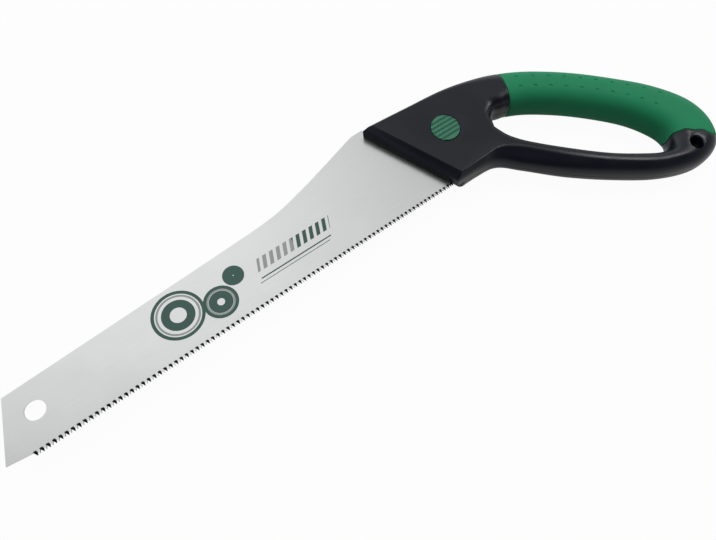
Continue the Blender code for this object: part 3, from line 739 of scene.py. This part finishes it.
def dimpleCuts():
    work = bmesh.new()
    for t, share in sleeve["rows"]:
        for k in range(sleeve["dimples"]):
            row, after = sectionAt(t, 0.0, 0.0), sectionAt(t + 2 * nudge, 0.0, 0.0)
            at, part = divmod(share * (len(row) - 1), 1)
            at = int(at)
            spot = Vector(row[at]).lerp(Vector(row[at + 1]), part)
            along = (Vector(after[at]).lerp(Vector(after[at + 1]), part) - spot).normalized()
            outward = along.cross(Vector(row[at + 1]) - Vector(row[at])).normalized()
            outward = outward if outward.z > 0 else -outward
            turn = Matrix((along, outward.cross(along), outward)).transposed().to_4x4()
            size = Matrix.Diagonal((*[measure / 2 for measure in sleeve["dimpleSize"]], 1))
            for side in (1, -1):
                flip = Matrix.Diagonal((1, 1, side, 1))
                bmesh.ops.create_uvsphere(work, u_segments=16, v_segments=10, radius=1.0,
                                          matrix=flip @ Matrix.Translation(spot) @ turn @ size)
            t += stationStep(t + stationStep(t, sleeve["dimplePitch"] / 2), sleeve["dimplePitch"])
    return work


def makeSleeve():
    start = handle["frontSeam"] + stationStep(handle["frontSeam"], handle["gap"])
    end = handle["rearSeam"] - stationStep(handle["rearSeam"], handle["gap"])
    outside = sleeveLoft(0.0, start, end, handle["seamLip"])
    past = start - stationStep(start, overcut), end + stationStep(end, overcut)
    bore = sleeveLoft(handle["skin"], *past, 0.0)
    finishPiece("gripSleeve", carve(outside, bore, dimpleCuts()), [gripGreen], "saw_body", "grip_sleeve")


makeSleeve()
print("sleeve made")

# Blade
slack = 0.01  # allowed when places are compared
blade = {
    "thickness": 0.6,
    "pitch": 1.5,
    "teeth": 173,
    "set": 0.15,              # each tooth leans this far out of the sheet, to each side in turn
    "grind": 0.45,            # how far the facet on the other side falls towards the point
    "lean": 0.62,             # where the point lies between its gullets
    "toothReach": 1.1,        # how far the points stand below the middle of the tooth line
    "paintedReflectionCells": (0.7, 0.2),   # the painted dark cells, a painted dark reflection of the set teeth, reach so far above the gullets and slant back so far
    "heelHeight": 3.0,
    "heelRound": 1.5,
    "tipBottom": (-drawing["tipReach"], 2.5),
    "tipTop": (-0.6, 33.75),
    "backEnd": (114.0, 40.0),
    "backCurve": [(155.0, 43.0), (180.0, 48.7), (199.0, 54.4), (218.0, 60.5), (226.5, 63.1)],
    "holeCentre": (9.1, 19.2),
    "holeRadius": 5.0,
    "tangBottom": 12.0,
    "tangTop": 46.0,
    "tangEnd": 292.0,
    "lockHole": 5.3,
    "lockSlot": 2.8,          # half the slot's width
}


def bladeOutline():
    gullet = drawing["toothHeight"] / 2
    shoulder = handle["noseWidth"] - handle["gap"]
    heel = handle["frontTop"][1] + blade["heelHeight"]
    low, high, end = blade["tangBottom"], blade["tangTop"], blade["tangEnd"]
    outline = [blade["tipBottom"], (0.0, gullet), (blade["teeth"] * blade["pitch"], gullet),
               frontPoint(gullet, shoulder), frontPoint(low, shoulder), (end, low), (end, high),
               frontPoint(high, shoulder), frontPoint(heel - blade["heelRound"], shoulder),
               frontPoint(heel, shoulder - blade["heelRound"])]
    curve = [Vector(point) for point in [blade["tipTop"], blade["backEnd"], *blade["backCurve"]]]
    steps = 8
    for step in range(steps * (len(curve) - 2), -1, -1):
        outline.append(tuple(smoothly(curve[1:], step / steps)))
    return outline + [blade["tipTop"]]


def scored(sheet):  # cuts the slanted edges of the painted dark-reflection cells into the strip above the gullets
    gullet, pitch = drawing["toothHeight"] / 2, blade["pitch"]
    rise, slant = blade["paintedReflectionCells"]
    bmesh.ops.bisect_plane(sheet, geom=everything(sheet), plane_co=(0.0, gullet + rise, 0.0),
                           plane_no=(0.0, 1.0, 0.0))
    for k in range(blade["teeth"] + 1):
        strip = [face for face in sheet.faces
                 if max(corner.co.y for corner in face.verts) < gullet + rise + slack
                 and max(corner.co.x for corner in face.verts) > (k - 1) * pitch]
        near = strip + list({edge for face in strip for edge in face.edges})
        near += list({corner for face in strip for corner in face.verts})
        bmesh.ops.bisect_plane(sheet, geom=near, plane_co=(k * pitch, gullet, 0.0),
                               plane_no=(rise, slant, 0.0))


def pulledTeeth(sheet):  # draws a point out of each pitch of the edge
    gullet, pitch, half = drawing["toothHeight"] / 2, blade["pitch"], blade["thickness"] / 2
    largest = pitch * blade["thickness"] * 1.1  # a little more than the root of one tooth
    roots = [face for face in sheet.faces
             if all(abs(corner.co.y - gullet) < slack for corner in face.verts)
             and face.calc_area() < largest and face.calc_center_median().x < blade["teeth"] * pitch]
    made = bmesh.ops.extrude_discrete_faces(sheet, faces=roots)["faces"]
    for k, face in enumerate(sorted(made, key=lambda face: face.calc_center_median().x)):
        start = min(corner.co.x for corner in face.verts)
        toward = 1 if k % 2 == 0 else -1
        for corner in list(face.verts):
            side = 1 if corner.co.z > 0 else -1
            moved = blade["set"] if side == toward else blade["grind"]
            corner.co = Vector((start + pitch * blade["lean"], -blade["toothReach"],
                                side * half + toward * moved))
    bmesh.ops.remove_doubles(sheet, verts=sheet.verts, dist=0.0005)  # joins the corners at each point
    bmesh.ops.recalc_face_normals(sheet, faces=sheet.faces)


def darkened(sheet):  # the hardened steel goes on the flanks and ground facets, and as a painted dark reflection on the cell above the gullet of every second tooth on each side
    gullet, half = drawing["toothHeight"] / 2, blade["thickness"] / 2
    rise, slant = blade["paintedReflectionCells"]
    for face in sheet.faces:
        heights = [corner.co.z for corner in face.verts]
        flank = min(heights) < 0 < max(heights)
        ground = min(map(abs, heights)) < half - slack
        middle = face.calc_center_median()
        tooth = math.floor((middle.x + (middle.y - gullet) * slant / rise) / blade["pitch"])
        if min(corner.co.y for corner in face.verts) < 0 and (flank or ground):
            face.material_index = 1
        # painted dark reflection: on each side, the cell above the gullet darkens for the teeth that are set
        # towards that side
        if gullet < middle.y < gullet + rise and 0 <= tooth < blade["teeth"] and not flank:
            face.material_index = 1 if (tooth % 2 == 0) == (middle.z > 0) else 0


def makeBlade():
    half, slot, end = blade["thickness"] / 2, blade["lockSlot"], blade["tangEnd"] + overcut
    catch = middleOf("release_button")
    cuts = [roundBar(blade["holeCentre"], blade["holeRadius"], -overcut, overcut, steps=72),
            roundBar(catch, blade["lockHole"], -overcut, overcut, steps=48),
            plateSolid(rectangle(catch.x, catch.y - slot, end, catch.y + slot), -overcut, overcut)]
    for pin in ("stop_pin_1", "stop_pin_2"):
        low, high = drawnBox(pin)
        cuts.append(roundBar(middleOf(pin), (high.x - low.x) / 2 + handle["gap"], -overcut, overcut))
    sheet = carve(plateSolid(bladeOutline(), -half, half), *cuts)
    scored(sheet)
    pulledTeeth(sheet)
    darkened(sheet)
    finishPiece("sawBlade", sheet, [steelSatin, steelHardAndPaintedReflection], "saw_body", "blade",
                smoothAngle=12.0)


makeBlade()
print("blade made")


# Button
def makeButton():
    centre = middleOf("release_button")
    low, high = drawnBox("release_button")
    top, radius, flange = high.z, button["radius"], (high.x - low.x) / 2
    inner, socket = radius - button["skirt"], button["socket"]
    shelf = headHalf - handle["wall"] - handle["gap"]
    under = shelf - button["flangeHeight"]
    ceiling = top - button["grooveDepth"] - button["crown"]
    profile = [(0.0, low.z), (socket, low.z), (socket, ceiling), (inner, ceiling), (inner, under),
               (flange, under), (flange, shelf), (radius, shelf),
               *roundedRim(radius, top, button["edgeRound"]), (0.0, top)]
    body = turnedSolid(profile, centre, steps=96)
    pitch = 2 * radius / (button["grooves"] + button["grooveMargin"])
    half, depth = button["grooveWidth"] / 2, button["grooveDepth"]
    start, end = button["grooveFloor"]
    cuts = [roundBar(centre, button["bore"], 0.0, low.z + button["boreDepth"])]
    for k in range(button["grooves"]):
        y = centre.y + (k - (button["grooves"] - 1) / 2) * pitch
        section = [(y - half, top + overcut), (y - half, top), (y + half * start, top - depth),
                   (y + half * end, top - depth), (y + half, top), (y + half, top + overcut)]
        groove = plateSolid(section, centre.x - radius - overcut, centre.x + radius + overcut)
        for corner in groove.verts:
            corner.co = corner.co.zxy  # lays the groove along x
        cuts.append(groove)
    finishPiece("releaseButton", carve(body, *cuts), [buttonGreen], "button", "release_button")


makeButton()
print("button made")

# Spring under the plunger
spring = {
    "wire": 0.7,
    "turns": 3.5,
    "stepsPerTurn": 36,
    "travel": 2.2,  # how far the pressed button shortens it
}


def makeSpring():
    low, high = drawnBox("button_spring")
    centre, wire = middleOf("button_spring"), spring["wire"] / 2
    coil, bottom = (high.x - low.x) / 2 - wire, low.z + wire
    steps = int(spring["turns"] * spring["stepsPerTurn"])
    start = Matrix.Translation((centre.x + coil, centre.y, bottom)) @ Matrix.Rotation(math.pi / 2, 4, 'X')
    work = bmesh.new()
    bmesh.ops.create_circle(work, segments=12, radius=wire, matrix=start)
    bmesh.ops.spin(work, geom=work.verts[:] + work.edges[:], cent=(centre.x, centre.y, bottom),
                   axis=(0, 0, 1), dvec=(0, 0, (high.z - wire - bottom) / steps),
                   angle=2 * math.pi * spring["turns"], steps=steps)
    bmesh.ops.holes_fill(work, edges=[edge for edge in work.edges if edge.is_boundary])
    bmesh.ops.recalc_face_normals(work, faces=work.faces)
    piece = finishPiece("buttonSpring", work, [wireDrawn], "saw_body", "button_spring")
    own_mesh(piece)


makeSpring()
print("spring made")


# Screws with a cross recess, in from the back
def makeScrew(number, node):
    low, high = drawnBox(node)
    centre, head, shank = middleOf(node), (high.x - low.x) / 2, screws["shank"]
    seat = low.z + screws["headHeight"]
    rim = [(radius, -height) for radius, height in roundedRim(head, -low.z, screws["headRound"])]
    work = turnedSolid([(0.0, high.z), (shank / 2, high.z), (shank, high.z - screws["point"]), (shank, seat),
                        (head, seat), *rim, (0.0, low.z)], centre, steps=32)
    reach, width, depth = [screws[key] for key in ("recessReach", "recessWidth", "recessDepth")]
    cuts = [plateSolid(rectangle(centre.x - x, centre.y - y, centre.x + x, centre.y + y),
                       low.z - overcut, low.z + depth) for x, y in ((reach, width), (width, reach))]
    finishPiece("shellScrew%d" % number, carve(work, *cuts), [steelPlated], "saw_body", node)


for number, node in enumerate(screwNames, 1):
    makeScrew(number, node)
print("screws made")

for node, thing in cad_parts.items():  # the inner steel pieces keep their solids
    if node in ("lock_plunger", "guide_plate_front", "guide_plate_back", "stop_pin_1", "stop_pin_2"):
        thing.data.materials.clear()
        thing.data.materials.append(steelPlated)

# Camera at the photograph's place
view = {
    "place": (132.762, -99.141, 251.105),  # in the drawing's millimetres
    "turn": (17.394, -6.422, -38.462),     # degrees
    "lens": 23.051,
    "sensor": 36.0,
    "shift": (-0.11228, 0.04227),
}
camera = bpy.data.cameras.new("photoCamera")
camera.lens = view["lens"]
camera.sensor_width = view["sensor"]
camera.shift_x, camera.shift_y = view["shift"]
camera.clip_start = 0.01
cameraObject = placed("photoCamera", camera)
cameraObject.location = sawOrigin + Vector(view["place"]) * mm
cameraObject.rotation_euler = [math.radians(angle) for angle in view["turn"]]
bpy.context.scene.camera = cameraObject

# Studio: a pale floor, a soft sky that brightens towards the back, a broad lamp and a small one
studio = {
    "floorSize": 6.0,
    "floorColour": "#c8c8c8",
    "floorWhite": 0.96,       # share of plain white that the camera sees
    "floorGloss": 0.55,       # the same in reflections
    "floorDrop": 0.00005,     # keeps the floor off the saw's lowest faces
    "dark": 0.07,             # sky on the side of the teeth
    "bright": 1.17,           # sky on the side of the blade's back
    "fade": -0.38,            # change of the sky from left to right
    "skySides": 0.2,          # how much a direction to the right counts with the one to the back
    "sideDrop": -1.3,         # fall of the sky from the middle to both sides
    "leastFade": 0.35,        # share of the sky that is left there
    "skyFrom": 0.0,           # where the sky starts to brighten, and where it is brightest
    "skyFull": 0.26,
    "glow": 0.6,              # light added near the horizon
    "glowFull": 0.1,          # height up to which all of it is added, and where it ends
    "glowUpTo": 0.78,
    "lamps": [                # name, place, size, power, and whether gloss shows it
        ("broadLamp", (0.15, 0.55, 1.1), 0.9, 5.2, False),
        ("edgeLamp", (0.84, -0.07, 1.08), 0.42, 3.6, True),
    ],
}
floorWork = bmesh.new()
bmesh.ops.create_grid(floorWork, x_segments=1, y_segments=1, size=studio["floorSize"] / 2,
                      matrix=Matrix.Translation((0.0, 0.0, -studio["floorDrop"])))
floor = placed("studioFloor", meshFrom(floorWork, "studioFloor"))


def studioPaper():
    # Matte seamless paper: no gloss, white to the camera and in reflections, grey enough to hold a shadow
    material, tree, shader = newMaterial("matteSeamlessPaper", studio["floorColour"], 0.9, specular=0.0)
    rays = tree.nodes.new("ShaderNodeLightPath").outputs
    seen = addNode(tree, "ShaderNodeMath", {0: rays["Is Camera Ray"], 1: studio["floorWhite"]},
                   operation='MULTIPLY')
    share = addNode(tree, "ShaderNodeMath", {0: rays["Is Glossy Ray"], 1: studio["floorGloss"], 2: seen},
                    operation='MULTIPLY_ADD')
    white = addNode(tree, "ShaderNodeEmission", {"Color": (1, 1, 1, 1), "Strength": 1.0})
    both = addNode(tree, "ShaderNodeMixShader", {0: share, 1: shader.outputs[0], 2: white})
    tree.links.new(both, tree.nodes["Material Output"].inputs["Surface"])
    return material


floor.data.materials.append(studioPaper())

world = bpy.data.worlds.new("softStudio")
world.use_nodes = True
bpy.context.scene.world = world


def softSky(tree):
    # White to the camera; otherwise dark on the side of the teeth and bright on the side of the blade's back
    axes = tree.nodes.new("ShaderNodeSeparateXYZ")
    tree.links.new(tree.nodes.new("ShaderNodeTexCoord").outputs["Generated"], axes.inputs[0])
    right, back, up = axes.outputs
    toward = addNode(tree, "ShaderNodeMath", {0: right, 1: studio["skySides"], 2: back},
                     operation='MULTIPLY_ADD')
    sky = addNode(tree, "ShaderNodeMapRange", {"Value": toward, "From Min": studio["skyFrom"],
                                               "From Max": studio["skyFull"], "To Min": studio["dark"],
                                               "To Max": studio["bright"]}, interpolation_type='SMOOTHSTEP')
    fade = addNode(tree, "ShaderNodeMath", {0: right, 1: studio["fade"], 2: 1.0}, operation='MULTIPLY_ADD')
    square = addNode(tree, "ShaderNodeMath", {0: right, 1: right}, operation='MULTIPLY')
    fade = addNode(tree, "ShaderNodeMath", {0: square, 1: studio["sideDrop"], 2: fade},
                   operation='MULTIPLY_ADD')
    fade = addNode(tree, "ShaderNodeMath", {0: fade, 1: studio["leastFade"]}, operation='MAXIMUM')
    glow = addNode(tree, "ShaderNodeMapRange", {"Value": up, "From Min": studio["glowUpTo"],
                                                "From Max": studio["glowFull"], "To Min": 0.0,
                                                "To Max": studio["glow"]}, interpolation_type='SMOOTHSTEP')
    sky = addNode(tree, "ShaderNodeMath", {0: sky, 1: fade, 2: glow}, operation='MULTIPLY_ADD')
    camera = tree.nodes.new("ShaderNodeLightPath").outputs["Is Camera Ray"]
    other = addNode(tree, "ShaderNodeMath", {0: 1.0, 1: camera}, operation='SUBTRACT')
    strength = addNode(tree, "ShaderNodeMath", {0: sky, 1: other, 2: camera}, operation='MULTIPLY_ADD')
    tree.links.new(strength, tree.nodes["Background"].inputs["Strength"])
    tree.nodes["Background"].inputs["Color"].default_value = (1, 1, 1, 1)


softSky(world.node_tree)

for name, place, size, power, glossy in studio["lamps"]:
    lamp = bpy.data.lights.new(name, 'AREA')
    lamp.shape = 'DISK'
    lamp.size = size
    lamp.energy = power
    lampObject = placed(name, lamp)
    lampObject.location = place
    lampObject.rotation_euler = Vector(place).to_track_quat('Z', 'Y').to_euler()
    lampObject.visible_glossy = glossy

bpy.context.scene.view_settings.view_transform = 'Standard'
print("studio made")
